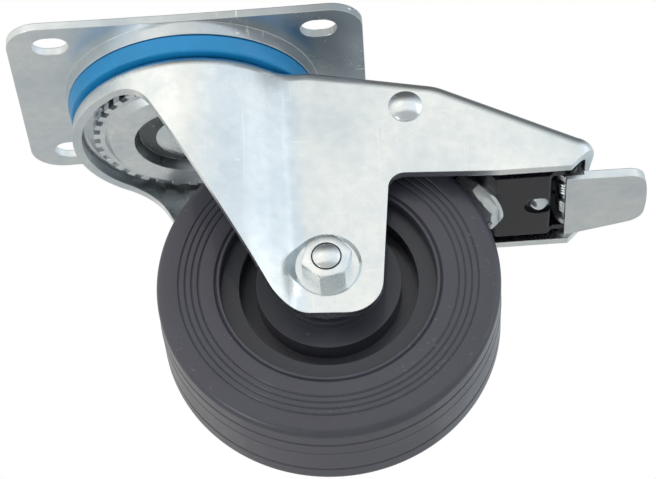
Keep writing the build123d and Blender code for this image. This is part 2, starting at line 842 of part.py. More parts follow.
with BuildPart() as pawl_rivet:
    with BuildSketch(Plane.XY.offset(tongue_top_z - tongue_thickness)):
        with Locations((pawl_rivet_x, 0)):
            Circle(pawl_rivet_radius)
    extrude(amount=tongue_thickness + pawl_sheet)
    with BuildSketch(Plane.XY.offset(tongue_top_z + pawl_sheet)):
        with Locations((pawl_rivet_x, 0)):
            Circle(pawl_rivet_radius + small_rivet_rim)
    extrude(amount=small_rivet_height, taper=rivet_taper)
finish(pawl_rivet, "pawl_rivet")

# Rivet in the arm's floor: domed below, inside the dimple, and flat above
with BuildPart() as floor_rivet:
    with BuildSketch(Plane.XY.offset(arm_bottom_z + arm_dimple_depth)):
        with Locations((arm_dimple_x, 0)):
            Circle(arm_dimple_radius - small_rivet_height)
    extrude(amount=-2 * small_rivet_height, taper=2 * rivet_taper)
    with BuildSketch(Plane.XY.offset(arm_bottom_z + arm_dimple_depth)):
        with Locations((arm_dimple_x, 0)):
            Circle(floor_rivet_radius)
    extrude(amount=arm_sheet - arm_dimple_depth)
    with BuildSketch(Plane.XY.offset(inner_floor_z)):
        with Locations((arm_dimple_x, 0)):
            Circle(floor_rivet_radius + small_rivet_rim)
    extrude(amount=small_rivet_height)
finish(floor_rivet, "floor_rivet")

# Pedal pin through the arm's flanges and the pedal's ears
with BuildPart() as pedal_pin:
    with BuildSketch(pin_plane):
        Circle(pin_radius)
    extrude(amount=arm_half_width, both=True)
    for side in (-1, 1):
        with BuildSketch(Plane.XZ.offset(side * arm_half_width)):
            with Locations((pin_x, pin_z)):
                Circle(pin_radius + pin_head_rim)
        extrude(amount=side * pin_head_height, taper=rivet_taper)
finish(pedal_pin, "pedal_pin")

# Pedal springs: two coils on the pin, one inside each ear
with BuildPart() as pedal_springs:
    for side in (-1, 1):
        coil = Helix(
            pitch=coil_pitch,
            height=coil_pitch * coil_turns,
            radius=coil_radius,
            center=(pin_x, side * coil_inner_y, pin_z),
            direction=(0, side, 0),
        )
        with BuildSketch(Plane(origin=coil @ 0, z_dir=coil % 0)):
            RegularPolygon(wire_radius, wire_sides)
        sweep(path=coil, is_frenet=True)
finish(pedal_springs, "pedal_springs")

# Pedal: a pressed plate with a turned-up rim, and two ears that carry the pin and the cam
# noses. Its root passes under the pin and hides the springs from below.
pedal_plane = Plane(
    origin=(pedal_start_x, 0, pedal_bottom_z),
    x_dir=(cos(radians(pedal_rise)), 0, sin(radians(pedal_rise))),
    z_dir=(-sin(radians(pedal_rise)), 0, cos(radians(pedal_rise))),
)


def pedal_outline(inset):
    """Plan of the pedal from its root to its bulged tip, drawn in by the inset."""
    with BuildSketch() as outline:
        with BuildLine():
            root_near = (0, -pedal_root_half_width)
            root_far = (0, pedal_root_half_width)
            tip_near = (pedal_length - pedal_end_bulge, -pedal_tip_half_width)
            tip_far = (pedal_length - pedal_end_bulge, pedal_tip_half_width)
            Polyline(tip_far, root_far, root_near, tip_near)
            ThreePointArc(tip_near, (pedal_length, 0), tip_far)
        make_face()
        tips = outline.vertices().sort_by(Axis.X)[-2:]
        fillet(tips, pedal_corner_radius)
        if inset:
            offset(amount=-inset, mode=Mode.REPLACE)
    return outline.sketch


pedal_lift = tan(radians(pedal_rise))
ear_foot_z = pedal_bottom_z + pedal_sheet / 2
ear_heel = (pedal_start_x + pedal_sheet, ear_foot_z + pedal_sheet * pedal_lift)
ear_toe = (pedal_start_x + pedal_ear_end, ear_foot_z + pedal_ear_end * pedal_lift)
with BuildPart() as pedal:
    with BuildSketch(pedal_plane):
        add(pedal_outline(0))
    extrude(amount=pedal_sheet)
    with BuildSketch(pedal_plane):
        with Locations((pedal_rim_start, 0)):
            Rectangle(pedal_length, 2 * pedal_root_half_width, align=(Align.MIN, Align.CENTER))
        add(pedal_outline(0), mode=Mode.INTERSECT)
        add(pedal_outline(pedal_rim_sheet), mode=Mode.SUBTRACT)
    extrude(amount=pedal_rim_height)
    for side in (-1, 1):
        with BuildSketch(Plane.XZ.offset(side * pedal_ear_y)):
            with BuildLine():
                CenterArc((pin_x, pin_z), pedal_ear_radius, 0, 360)
                CenterArc((cam_x, cam_z), cam_radius, 0, 360)
                Line(ear_heel, ear_toe)
            make_hull()
        extrude(amount=-side * pedal_ear_sheet)
    with BuildSketch(pin_plane):
        Circle(pin_radius + running_clearance)
    extrude(amount=arm_half_width, both=True, mode=Mode.SUBTRACT)
finish(pedal, "pedal")
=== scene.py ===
"""Finishes, turned rubber, stage and light of the swivel castor, laid out as an add-on."""
import json
from math import cos, pi, radians, sin, tan

import bpy
from bpy.props import FloatProperty, FloatVectorProperty, PointerProperty
from mathutils import Matrix, Vector


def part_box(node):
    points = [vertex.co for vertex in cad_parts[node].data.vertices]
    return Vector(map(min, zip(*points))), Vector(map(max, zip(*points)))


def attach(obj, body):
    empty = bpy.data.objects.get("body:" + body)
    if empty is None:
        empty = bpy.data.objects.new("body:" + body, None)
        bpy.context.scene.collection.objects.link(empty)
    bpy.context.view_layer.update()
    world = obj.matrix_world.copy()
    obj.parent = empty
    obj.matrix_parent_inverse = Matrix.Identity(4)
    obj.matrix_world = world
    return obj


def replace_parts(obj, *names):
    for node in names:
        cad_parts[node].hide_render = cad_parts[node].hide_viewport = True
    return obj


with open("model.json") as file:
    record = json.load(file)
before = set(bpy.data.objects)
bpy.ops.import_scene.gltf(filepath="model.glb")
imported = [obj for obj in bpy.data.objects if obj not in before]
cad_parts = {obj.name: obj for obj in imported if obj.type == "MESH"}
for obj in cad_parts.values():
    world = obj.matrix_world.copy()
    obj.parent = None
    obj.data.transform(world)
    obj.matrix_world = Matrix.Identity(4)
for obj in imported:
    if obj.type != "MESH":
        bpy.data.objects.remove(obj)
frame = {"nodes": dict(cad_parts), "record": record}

bl_info = {
    "name": "Swivel castor",
    "version": (1, 0, 0),
    "blender": (4, 5, 0),
    "location": "3D View > Sidebar > Castor",
    "description": "Dresses a braked swivel castor in zinc, rubber and plastic",
    "category": "Object",
}

MM = 0.001
BODIES = frame["record"]["behaviour"]["bodies"]
BODY_OF = {name: body for body, names in BODIES.items() for name in names}
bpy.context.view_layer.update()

# Places taken from the frame, in metres
TYRE_LOW, TYRE_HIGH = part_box("tyre")
AXLE = (TYRE_LOW + TYRE_HIGH) / 2
WHEEL_RADIUS = (TYRE_HIGH.z - TYRE_LOW.z) / 2
TYRE_HALF_WIDTH = (TYRE_HIGH.y - TYRE_LOW.y) / 2
RIM_LOW, RIM_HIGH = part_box("wheel_centre")
RIM_RADIUS = (RIM_HIGH.z - RIM_LOW.z) / 2

# Small forms of the tyre, in metres from the axle or from the middle of the tread
SIDE_RING_RADII = (37.7 * MM, 39.6 * MM, 41.5 * MM, 43.4 * MM)
SIDE_RING_HALF_WIDTH = 0.35 * MM
TREAD_GROOVE_Y = 8.0 * MM
TREAD_GROOVE_HALF_WIDTH = 0.6 * MM
MOULD_LINE_Y = -2.0 * MM
MOULD_LINE_HALF_WIDTH = 0.25 * MM
LIP_WIDTH = 0.9 * MM
LIP_GROOVE_DEPTH = 0.9 * MM
RIM_HALF_WIDTH = 11.3 * MM
TYRE_SEGMENTS = 180

# The lip groove's floor and end, in lip widths from the rim
LIP_GROOVE_FLOOR = 1.4
LIP_GROOVE_END = 2.0

# Roundings of the tyre's section, and the points beside a corner that keep the tread's bands flat
SHARP = 0.0
FLOOR_ROUNDING = 0.1 * MM
LIP_INNER_ROUNDING = 0.3 * MM
LIP_OUTER_ROUNDING = 0.4 * MM
LIP_GROOVE_ROUNDING = 0.2 * MM
SIDE_RING_ROUNDING = 0.12 * MM
TREAD_GROOVE_ROUNDING = 0.15 * MM
TREAD_GROOVE_FLOOR_ROUNDING = 0.2 * MM
FLAT_START = 0.3 * MM
ROUNDING_STEPS = 4

# Turned meshes: edges sharper than this stay sharp, and corners nearer to straight aren't rounded
SHARP_ANGLE = radians(40)
STRAIGHT_TOLERANCE = 0.01
DOME_STEPS = 10

# The pedal's springs
COIL_INNER_Y = 2.1 * MM
COIL_TURNS = 4
COIL_STEPS = 28
WIRE_RADIUS = 0.5 * MM
WIRE_STEPS = 8

# Ridges on the brake bolt's face, which leans towards the wheel
BRAKE_FACE = Vector((81.6, 0.0, -49.6)) * MM
BRAKE_ANGLE = radians(42)
RIDGE_REACH = 7.6 * MM
RIDGE_HEIGHT = 0.16 * MM
RIDGE_COUNT = 5
RIDGE_STEPS = 40
RIDGE_SEGMENTS = 96

# Hexagons, and the axle's nut, bolt head and domed bolt end
HEX_SIDE_ANGLE = pi / 3
HEX_CHAMFER_ANGLE = pi / 6
HEX_CHAMFER_SHARE = 0.96
HEX_SEGMENTS = 120
NUT_TURN = radians(47)
NUT_BORE_RADIUS = 4.4 * MM
BOLT_RADIUS = 4.0 * MM
BOLT_HEAD_HEIGHT = 5.3 * MM
BOLT_DOME_HEIGHT = 1.2 * MM
BOLT_SEGMENTS = 72

# Dome of the rivet in the brake arm's floor
FLOOR_RIVET_RISE = 2.6 * MM
FLOOR_RIVET_SEGMENTS = 48

# Domed heads of the brake's pivot
PIVOT_HEAD_HEIGHT = 2.4 * MM
PIVOT_HEAD_EDGE = 0.5 * MM
PIVOT_SHANK_RADIUS = 3.0 * MM
PIVOT_SEGMENTS = 96

# Plating. Scales are those of noise over metres, and over a span a mask runs from 0 to 1
PATCH_SPAN = (0.35, 0.65)
CLOUD_SCALE = 300.0
CLOUD_SHARE = 0.25
SCRATCH_TURNS_AND_SCALES = (
    ((0.3, 0.9, 0.2), (30.0, 900.0, 1400.0)),
    ((0.1, -0.6, 1.3), (1100.0, 1100.0, 26.0)),
)
SCRATCH_SPAN = (0.68, 0.74)
SCRATCH_DEPTH = 0.4
SCRATCHED_AREA_SCALE = 90.0
SCRATCHED_AREA_SPAN = (0.5, 0.62)
GRAIN_SCALE = 2600.0
GRAIN_SHARE = 0.2
RIPPLE_SCALE = 160.0
PLATING_RELIEF = 0.01 * MM

# Softened edges: the mask of the painted highlight starts where the rounded normal leaves the true
# one
BEVEL_SAMPLES = 6
EDGE_SPAN = (0.99, 0.86)

# Moulded rubber and plastic
MOTTLE_SCALE = 55.0
MOTTLE_SPAN = (0.35, 0.65)
LINT_SCALE = 900.0
LINT_SPAN = (0.70, 0.76)
LINT_AREA_SCALE = 45.0
LINT_AREA_SPAN = (0.45, 0.65)
LINT_COLOUR = (0.6, 0.6, 0.6)
LINT_SHARE = 0.12

# Turning marks: at scale 1 the rings of Blender's wave texture lie this far apart
WAVE_SPACING = 0.314
WAVE_DISTORTION = 0.3
WAVE_SHARE = 0.8

# Painted shade on the plate's near and right side: direction per metre, and its wavering edge
PLATE_SHADE_DIRECTION = (14.0, -9.0, 0.0)
PLATE_SHADE_EDGE_SCALE = 30.0
PLATE_SHADE_SPAN = (0.3, 1.5)

# Painted shade in the lock disc's recessed middle, as radii from the swivel axis
HUB_SHADE_INNER = 16.2 * MM
HUB_SHADE_OUTER = 17.4 * MM

# Sockets of Blender's mix node, whose names repeat
MIX_SHARE, MIX_FIRST_VALUE, MIX_SECOND_VALUE, MIX_FIRST_COLOUR, MIX_SECOND_COLOUR = 0, 2, 3, 6, 7
MIX_VALUE_RESULT, MIX_COLOUR_RESULT = 0, 2


def srgb(red, green, blue):
    """Scene-linear colour of a screen colour given in steps from 0 to 255."""
    steps = [value / 255 for value in (red, green, blue)]
    return tuple(v / 12.92 if v <= 0.04045 else ((v + 0.055) / 1.055) ** 2.4 for v in steps)


def length_property(name, description, millimetres):
    """A size that a user may change, shown in the scene's units."""
    default = millimetres * MM
    return FloatProperty(name=name, description=description, default=default, min=0.0, unit="LENGTH")


def colour_property(name, description, colour):
    """A colour that a user may change."""
    return FloatVectorProperty(
        name=name, description=description, default=colour, subtype="COLOR", size=3, min=0.0, max=1.0
    )


class CastorSizes(bpy.types.PropertyGroup):
    """Small forms of the moulded and pressed pieces"""

    shoulder_radius: length_property(
        "Shoulder radius", "Rounding between the tread and the tyre's side", 2.2
    )
    tread_groove_depth: length_property(
        "Tread groove depth", "Depth of the two grooves round the tread", 0.5
    )
    side_ring_depth: length_property(
        "Side ring depth", "Depth of the fine rings in the tyre's sides", 0.4
    )
    mould_line_height: length_property(
        "Mould line height", "Height of the flash line round the tread", 0.12
    )
    edge_radius: length_property(
        "Edge softness", "Radius that sheared steel edges seem rounded to", 0.35
    )


class CastorColours(bpy.types.PropertyGroup):
    """Colours of the finishes"""

    zinc: colour_property("Zinc", "Bright zinc plating", srgb(243, 246, 245))
    zinc_shade: colour_property(
        "Zinc shade", "Duller, bluer patches of the plating", srgb(216, 225, 231)
    )
    ring_blue: colour_property("Ring blue", "Plastic dust ring", srgb(22, 142, 204))
    rubber: colour_property("Rubber", "Solid rubber tyre", srgb(66, 66, 77))
    rim: colour_property("Rim", "Moulded wheel centre", srgb(50, 51, 60))
    black: colour_property("Black coat", "Coated brake arm", srgb(21, 19, 27))
    cage: colour_property("Cage", "Moulded bearing cage", srgb(120, 120, 116))
    floor: colour_property("Floor", "Pale studio floor", srgb(244, 244, 244))


def node(tree, kind, inputs=None, **settings):
    """Add a shader node, set its properties and fill or link its inputs."""
    made = tree.nodes.new(kind)
    for name, value in settings.items():
        setattr(made, name, value)
    for name, value in (inputs or {}).items():
        socket = made.inputs[name]
        if isinstance(value, bpy.types.NodeSocket):
            tree.links.new(value, socket)
        else:
            socket.default_value = value
    return made


def mix_colours(tree, share, first, second):
    """Colour that runs from the first to the second with the share."""
    first = first if isinstance(first, bpy.types.NodeSocket) else (*first, 1.0)
    second = second if isinstance(second, bpy.types.NodeSocket) else (*second, 1.0)
    inputs = {MIX_SHARE: share, MIX_FIRST_COLOUR: first, MIX_SECOND_COLOUR: second}
    return node(tree, "ShaderNodeMix", inputs, data_type="RGBA").outputs[MIX_COLOUR_RESULT]


def mix_values(tree, share, first, second):
    """Value that runs from the first to the second with the share."""
    inputs = {MIX_SHARE: share, MIX_FIRST_VALUE: first, MIX_SECOND_VALUE: second}
    return node(tree, "ShaderNodeMix", inputs).outputs[MIX_VALUE_RESULT]


def spread(tree, value, low, high, out_low, out_high):
    """Value mapped from one span to another and held within it."""
    inputs = {
        "Value": value,
        "From Min": low,
        "From Max": high,
        "To Min": out_low,
        "To Max": out_high,
    }
    return node(tree, "ShaderNodeMapRange", inputs).outputs["Result"]


def mask(tree, value, start, end):
    """Mask that is 0 where the value is at the start of a span and 1 at its end."""
    return spread(tree, value, start, end, 0.0, 1.0)


def arithmetic(tree, operation, first, second):
    """Sum, product or other two-part calculation."""
    return node(tree, "ShaderNodeMath", {0: first, 1: second}, operation=operation).outputs[0]


def vector_arithmetic(tree, operation, *operands):
    """Calculation on vectors, which gives a number for a dot product or a length."""
    inputs = dict(enumerate(operands))
    made = node(tree, "ShaderNodeVectorMath", inputs, operation=operation)
    return made.outputs["Value" if operation in ("DOT_PRODUCT", "LENGTH") else "Vector"]


def new_group(name, inputs, outputs):
    """Empty shader node group with named sockets, and its two end nodes."""
    group = bpy.data.node_groups.new(name, "ShaderNodeTree")
    for in_out, sockets in (("INPUT", inputs), ("OUTPUT", outputs)):
        for socket_name, kind in sockets:
            group.interface.new_socket(socket_name, in_out=in_out, socket_type=kind)
    return group, node(group, "NodeGroupInput"), node(group, "NodeGroupOutput")


def object_place(tree):
    """Place of the shaded point in the object's own coordinates."""
    return node(tree, "ShaderNodeTexCoord").outputs["Object"]


def noise(tree, place, scale, detail=2.0, roughness=0.5):
    """Noise value between 0 and 1."""
    inputs = {"Vector": place, "Scale": scale, "Detail": detail, "Roughness": roughness}
    return node(tree, "ShaderNodeTexNoise", inputs).outputs["Fac"]


def streaks(tree, place, turn, scale):
    """Noise that is turned and drawn out along one direction."""
    inputs = {"Vector": place, "Rotation": turn, "Scale": scale}
    drawn_out = node(tree, "ShaderNodeMapping", inputs).outputs["Vector"]
    return noise(tree, drawn_out, 1.0, detail=1.0)


def bumped(tree, normal, height, distance):
    """Normal that a height disturbs."""
    inputs = {"Height": height, "Normal": normal, "Distance": distance}
    return node(tree, "ShaderNodeBump", inputs).outputs["Normal"]


def build_plating_group():
    """Patches, streaks, scratches and fine grain of plated sheet steel."""
    group, start, end = new_group(
        "plating",
        [("Seed", "NodeSocketFloat"), ("Patch Scale", "NodeSocketFloat")],
        [
            ("Patches", "NodeSocketFloat"),
            ("Scratches", "NodeSocketFloat"),
            ("Height", "NodeSocketFloat"),
        ],
    )
    place = vector_arithmetic(group, "ADD", object_place(group), start.outputs["Seed"])
    patches = noise(group, place, start.outputs["Patch Scale"], detail=5.0, roughness=0.6)
    cloud = noise(group, place, CLOUD_SCALE, detail=3.0)
    scratched_area = mask(group, noise(group, place, SCRATCHED_AREA_SCALE), *SCRATCHED_AREA_SPAN)
    lines = [
        mask(group, streaks(group, place, turn, scale), *SCRATCH_SPAN)
        for turn, scale in SCRATCH_TURNS_AND_SCALES
    ]
    all_lines = arithmetic(group, "MAXIMUM", *lines)
    scratches = arithmetic(group, "MULTIPLY", all_lines, scratched_area)
    ripple = noise(group, place, RIPPLE_SCALE)
    skin = mix_values(group, GRAIN_SHARE, ripple, noise(group, place, GRAIN_SCALE))
    depth = arithmetic(group, "MULTIPLY", scratches, SCRATCH_DEPTH)
    soft_patches = mix_values(group, CLOUD_SHARE, patches, cloud)
    group.links.new(mask(group, soft_patches, *PATCH_SPAN), end.inputs["Patches"])
    group.links.new(scratches, end.inputs["Scratches"])
    group.links.new(arithmetic(group, "SUBTRACT", skin, depth), end.inputs["Height"])
    return group


def build_edge_group():
    """Rounded normals along sharp edges, and a mask of those edges for a painted highlight."""
    group, start, end = new_group(
        "soft_edges",
        [("Radius", "NodeSocketFloat")],
        [("Normal", "NodeSocketVector"), ("Edges", "NodeSocketFloat")],
    )
    radius = {"Radius": start.outputs["Radius"]}
    rounded_normal = node(group, "ShaderNodeBevel", radius, samples=BEVEL_SAMPLES).outputs[0]
    true_normal = node(group, "ShaderNodeNewGeometry").outputs["Normal"]
    agreement = vector_arithmetic(group, "DOT_PRODUCT", rounded_normal, true_normal)
    group.links.new(rounded_normal, end.inputs["Normal"])
    group.links.new(mask(group, agreement, *EDGE_SPAN), end.inputs["Edges"])
    return group


def build_moulding_group():
    """Mottling, lint and fine skin of moulded rubber and plastic."""
    group, start, end = new_group(
        "moulding",
        [("Seed", "NodeSocketFloat"), ("Skin Scale", "NodeSocketFloat")],
        [
            ("Mottle", "NodeSocketFloat"),
            ("Lint", "NodeSocketFloat"),
            ("Height", "NodeSocketFloat"),
        ],
    )
    place = vector_arithmetic(group, "ADD", object_place(group), start.outputs["Seed"])
    mottle = noise(group, place, MOTTLE_SCALE, detail=5.0, roughness=0.6)
    specks = mask(group, noise(group, place, LINT_SCALE, detail=1.0), *LINT_SPAN)
    lint_area = mask(group, noise(group, place, LINT_AREA_SCALE), *LINT_AREA_SPAN)
    skin = noise(group, place, start.outputs["Skin Scale"], detail=3.0, roughness=0.6)
    group.links.new(mask(group, mottle, *MOTTLE_SPAN), end.inputs["Mottle"])
    group.links.new(arithmetic(group, "MULTIPLY", specks, lint_area), end.inputs["Lint"])
    group.links.new(skin, end.inputs["Height"])
    return group


GROUP_BUILDERS = {
    "plating": build_plating_group,
    "soft_edges": build_edge_group,
    "moulding": build_moulding_group,
}


def place_group(tree, name, **inputs):
    """One use of a shared node group, which is built the first time it is asked for."""
    placed = tree.nodes.new("ShaderNodeGroup")
    placed.node_tree = bpy.data.node_groups.get(name) or GROUP_BUILDERS[name]()
    for socket_name, value in inputs.items():
        placed.inputs[socket_name.replace("_", " ")].default_value = value
    return placed


def new_material(name):
    """Material with an empty principled surface."""
    material = bpy.data.materials.new(name)
    material.use_nodes = True
    return material, material.node_tree, material.node_tree.nodes["Principled BSDF"]


def connect(tree, surface, colour, roughness, normal):
    """Link what varies over the surface to the principled shader."""
    for name, value in (("Base Color", colour), ("Roughness", roughness), ("Normal", normal)):
        tree.links.new(value, surface.inputs[name])


def plate_painted_shade(tree):
    """Mask of painted shade on the plate's near and right side, with a wavering edge."""
    place = object_place(tree)
    across = vector_arithmetic(tree, "DOT_PRODUCT", place, PLATE_SHADE_DIRECTION)
    waver = noise(tree, place, PLATE_SHADE_EDGE_SCALE, detail=3.0)
    return mask(tree, arithmetic(tree, "ADD", across, waver), *PLATE_SHADE_SPAN)


def hub_painted_shade(tree):
    """Mask of painted shade in the lock disc's middle, round the kingpin's head."""
    flat = vector_arithmetic(tree, "MULTIPLY", object_place(tree), (1.0, 1.0, 0.0))
    radius = vector_arithmetic(tree, "LENGTH", flat)
    return spread(tree, radius, HUB_SHADE_INNER, HUB_SHADE_OUTER, 1.0, 0.0)


def plated_steel(
    name,
    seed,
    roughness_span,
    patch_scale,
    relief=PLATING_RELIEF,
    shade=1.0,
    metallic=1.0,
    painted_shade=None,
    painted_shade_level=0.5,
):
    """Zinc-plated steel: bright, with bluer patches, scratches, soft edges lightened by a painted
    highlight and maybe a patch of painted shade.
    """
    colours = bpy.context.scene.castor_colours
    material, tree, surface = new_material(name)
    plating = place_group(tree, "plating", Seed=seed, Patch_Scale=patch_scale)
    edges = place_group(tree, "soft_edges", Radius=bpy.context.scene.castor_sizes.edge_radius)
    bright = [channel * shade for channel in colours.zinc]
    dull = [channel * shade for channel in colours.zinc_shade]
    colour = mix_colours(tree, plating.outputs["Patches"], bright, dull)
    # Painted shade: the masked patch runs towards a darker copy of the zinc's shade colour
    if painted_shade:
        painted_shade_colour = [channel * painted_shade_level for channel in colours.zinc_shade]
        colour = mix_colours(tree, painted_shade(tree), colour, painted_shade_colour)
    colour = mix_colours(tree, plating.outputs["Scratches"], colour, bright)
    # Painted highlight: sharp edges are lightened to bright zinc
    colour = mix_colours(tree, edges.outputs["Edges"], colour, colours.zinc)
    roughness = spread(tree, plating.outputs["Patches"], 0.0, 1.0, *roughness_span)
    normal = bumped(tree, edges.outputs["Normal"], plating.outputs["Height"], relief)
    connect(tree, surface, colour, roughness, normal)
    surface.inputs["Metallic"].default_value = metallic
    return material


def turning_marks(tree, spacing):
    """Height of faint rings round the axle, a spacing apart."""
    centred = vector_arithmetic(tree, "SUBTRACT", object_place(tree), AXLE)
    inputs = {
        "Vector": centred,
        "Scale": WAVE_SPACING / spacing,
        "Distortion": WAVE_DISTORTION,
        "Detail": 1.0,
    }
    rings = node(tree, "ShaderNodeTexWave", inputs, wave_type="RINGS", rings_direction="Y")
    return arithmetic(tree, "MULTIPLY", rings.outputs["Fac"], WAVE_SHARE)


def moulded(
    name,
    seed,
    colour,
    pale,
    roughness_span,
    relief,
    skin_scale,
    ring_spacing=0.0,
    coat=0.0,
    specular=0.5,
):
    """Moulded rubber or plastic: mottled, with lint, edges lightened by a painted highlight and,
    where turned, faint rings.
    """
    material, tree, surface = new_material(name)
    moulding = place_group(tree, "moulding", Seed=seed, Skin_Scale=skin_scale)
    edges = place_group(tree, "soft_edges", Radius=bpy.context.scene.castor_sizes.edge_radius)
    lighter = [channel * (1 + pale) for channel in colour]
    mottled = mix_colours(tree, moulding.outputs["Mottle"], colour, lighter)
    # Painted highlight: sharp edges are lightened towards the paler colour
    mottled = mix_colours(tree, edges.outputs["Edges"], mottled, lighter)
    lint = arithmetic(tree, "MULTIPLY", moulding.outputs["Lint"], LINT_SHARE)
    mottled = mix_colours(tree, lint, mottled, LINT_COLOUR)
    height = moulding.outputs["Height"]
    if ring_spacing:
        height = arithmetic(tree, "ADD", height, turning_marks(tree, ring_spacing))
    roughness = spread(tree, moulding.outputs["Mottle"], 0.0, 1.0, *roughness_span)
    connect(tree, surface, mottled, roughness, bumped(tree, edges.outputs["Normal"], height, relief))
    surface.inputs["Coat Weight"].default_value = coat
    surface.inputs["Specular IOR Level"].default_value = specular
    return material


def dress(material, *nodes):
    """Give CAD nodes a finish."""
    for name in nodes:
        piece = frame["nodes"][name]
        piece.data.materials.clear()
        piece.data.materials.append(material)


def rounded(corners):
    """Points of a closed outline, where each corner (x, y, radius) becomes an arc."""
    points = []
    for index, (x, y, radius) in enumerate(corners):
        corner = Vector((x, y))
        before = (Vector(corners[index - 1][:2]) - corner).normalized()
        after = (Vector(corners[(index + 1) % len(corners)][:2]) - corner).normalized()
        half_angle = before.angle(after) / 2
        if radius <= 0 or abs(half_angle - pi / 2) < STRAIGHT_TOLERANCE:
            points.append(corner)
            continue
        centre = corner + (before + after).normalized() * (radius / sin(half_angle))
        reach = radius / tan(half_angle)
        first = corner + before * reach - centre
        last = corner + after * reach - centre
        sweep = first.angle_signed(last)
        for step in range(ROUNDING_STEPS + 1):
            points.append(centre + Matrix.Rotation(-sweep * step / ROUNDING_STEPS, 2) @ first)
    return points


def loop_faces(loops, count, start=0, closed=False):
    """Faces between loops of equally many points; closed joins the last loop to the first."""
    faces = []
    for loop in range(loops if closed else loops - 1):
        here = start + loop * count
        beyond = start + (loop + 1) % loops * count
        for index in range(count):
            beside = (index + 1) % count
            faces.append((here + index, here + beside, beyond + beside, beyond + index))
    return faces


def smooth_mesh(name, vertices, faces):
    """Mesh that shades smoothly."""
    mesh = bpy.data.meshes.new(name)
    mesh.from_pydata(vertices, [], faces)
    mesh.shade_smooth()
    return mesh


def turned_mesh(name, outline, segments, place):
    """Mesh of a closed outline of (radius, y) points turned about y, then put in place.

    The outline may also be a function that gives the points for each angle.
    """
    vertices = []
    for turn in range(segments):
        angle = 2 * pi * turn / segments
        points = outline(angle) if callable(outline) else outline
        for radius, y in points:
            vertices.append(place @ Vector((radius * cos(angle), y, radius * sin(angle))))
    mesh = smooth_mesh(name, vertices, loop_faces(segments, len(points), closed=True))
    mesh.set_sharp_from_angle(angle=SHARP_ANGLE)
    return mesh


def hexagon_reach(half_flats, angle):
    """Distance from a hexagon's middle to its edge, half of its flats at angles between corners."""
    return half_flats / cos(angle % HEX_SIDE_ANGLE - HEX_SIDE_ANGLE / 2)


def hexagonal(flats, length, bore_radius, turn):
    """Outline, by angle, of a six-sided nut or head that is chamfered at its outer end."""

    def outline(angle):
        corner = hexagon_reach(flats / 2, angle - turn)
        crown = flats / 2 * HEX_CHAMFER_SHARE
        shoulder = length - (corner - crown) * tan(HEX_CHAMFER_ANGLE)
        return [
            (bore_radius, 0.0),
            (corner, 0.0),
            (corner, shoulder),
            (crown, length),
            (bore_radius, length),
        ]

    return outline


def dome(radius, rim, top):
    """Points of a low dome from its rim to the middle, between the heights of rim and top."""
    points = []
    for step in range(DOME_STEPS + 1):
        share = step / DOME_STEPS
        points.append((radius * (1 - share), rim + (top - rim) * (1 - (1 - share) ** 2)))
    return points


def add_trim(name, mesh, material, node_name):
    """Place a modelled piece on the body of the CAD node that it belongs to."""
    piece = bpy.data.objects.new(name, mesh)
    bpy.context.scene.collection.objects.link(piece)
    mesh.materials.append(material)
    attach(piece, BODY_OF[node_name])
    return piece


def add_piece(name, mesh, material, node_name):
    """Place a modelled piece that takes the place of a CAD node."""
    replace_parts(add_trim(name, mesh, material, node_name), node_name)


def wound_springs():
    """Mesh of two coils of round wire on the pedal's pin."""
    low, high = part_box("pedal_springs")
    centre = (low + high) / 2
    coil_radius = (high.x - low.x) / 2 - WIRE_RADIUS
    coil_length = (high.y - low.y) / 2 - COIL_INNER_Y - WIRE_RADIUS
    steps = COIL_TURNS * COIL_STEPS
    vertices = []
    faces = []
    for side in (-1, 1):
        faces += loop_faces(steps + 1, WIRE_STEPS, start=len(vertices))
        for step in range(steps + 1):
            turn = 2 * pi * step / COIL_STEPS
            along = COIL_INNER_Y + coil_length * step / steps
            outward = Vector((cos(turn), 0.0, sin(turn)))
            spot = centre + outward * coil_radius + Vector((0.0, side * along, 0.0))
            for around in range(WIRE_STEPS):
                angle = 2 * pi * around / WIRE_STEPS
                from_wire = outward * cos(angle) + Vector((0.0, sin(angle), 0.0))
                vertices.append(spot + from_wire * WIRE_RADIUS)
    return smooth_mesh("spring_wire_body", vertices, faces)


def domed_pivot():
    """Mesh of the brake's pivot with a low dome at each end."""
    low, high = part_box("brake_pivot")
    half_length = (high.y - low.y) / 2
    radius = (high.z - low.z) / 2
    seat = half_length - PIVOT_HEAD_HEIGHT
    head = dome(radius, -seat - PIVOT_HEAD_EDGE, -half_length)
    near = [(PIVOT_SHANK_RADIUS, -seat), (radius, -seat), *head]
    far = [(distance, -along) for distance, along in near]
    outline = [*reversed(near), *far]
    place = Matrix.Translation((low + high) / 2)
    return turned_mesh("domed_pivot_body", outline, PIVOT_SEGMENTS, place)


def axle_nut():
    """Mesh of the axle's nut, on the near side."""
    low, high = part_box("axle_nut")
    seat = Vector((AXLE.x, high.y, AXLE.z))
    place = Matrix.Translation(seat) @ Matrix.Rotation(pi, 4, "X")
    outline = hexagonal(high.z - low.z, high.y - low.y, NUT_BORE_RADIUS, NUT_TURN)
    return turned_mesh("axle_nut_body", outline, HEX_SEGMENTS, place)


def axle_shank():
    """Mesh of the axle bolt's shank with its domed end."""
    low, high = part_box("axle_bolt")
    inner = high.y - BOLT_HEAD_HEIGHT - AXLE.y
    end = low.y - AXLE.y
    outline = [(0.0, inner), (BOLT_RADIUS, inner), *dome(BOLT_RADIUS, end + BOLT_DOME_HEIGHT, end)]
    return turned_mesh("axle_bolt_body", outline, BOLT_SEGMENTS, Matrix.Translation(AXLE))


def axle_head():
    """Mesh of the axle bolt's six-sided head, on the far side."""
    low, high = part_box("axle_bolt")
    seat = Vector((AXLE.x, high.y - BOLT_HEAD_HEIGHT, AXLE.z))
    outline = hexagonal(high.z - low.z, BOLT_HEAD_HEIGHT, 0.0, 0.0)
    return turned_mesh("axle_bolt_head", outline, HEX_SEGMENTS, Matrix.Translation(seat))


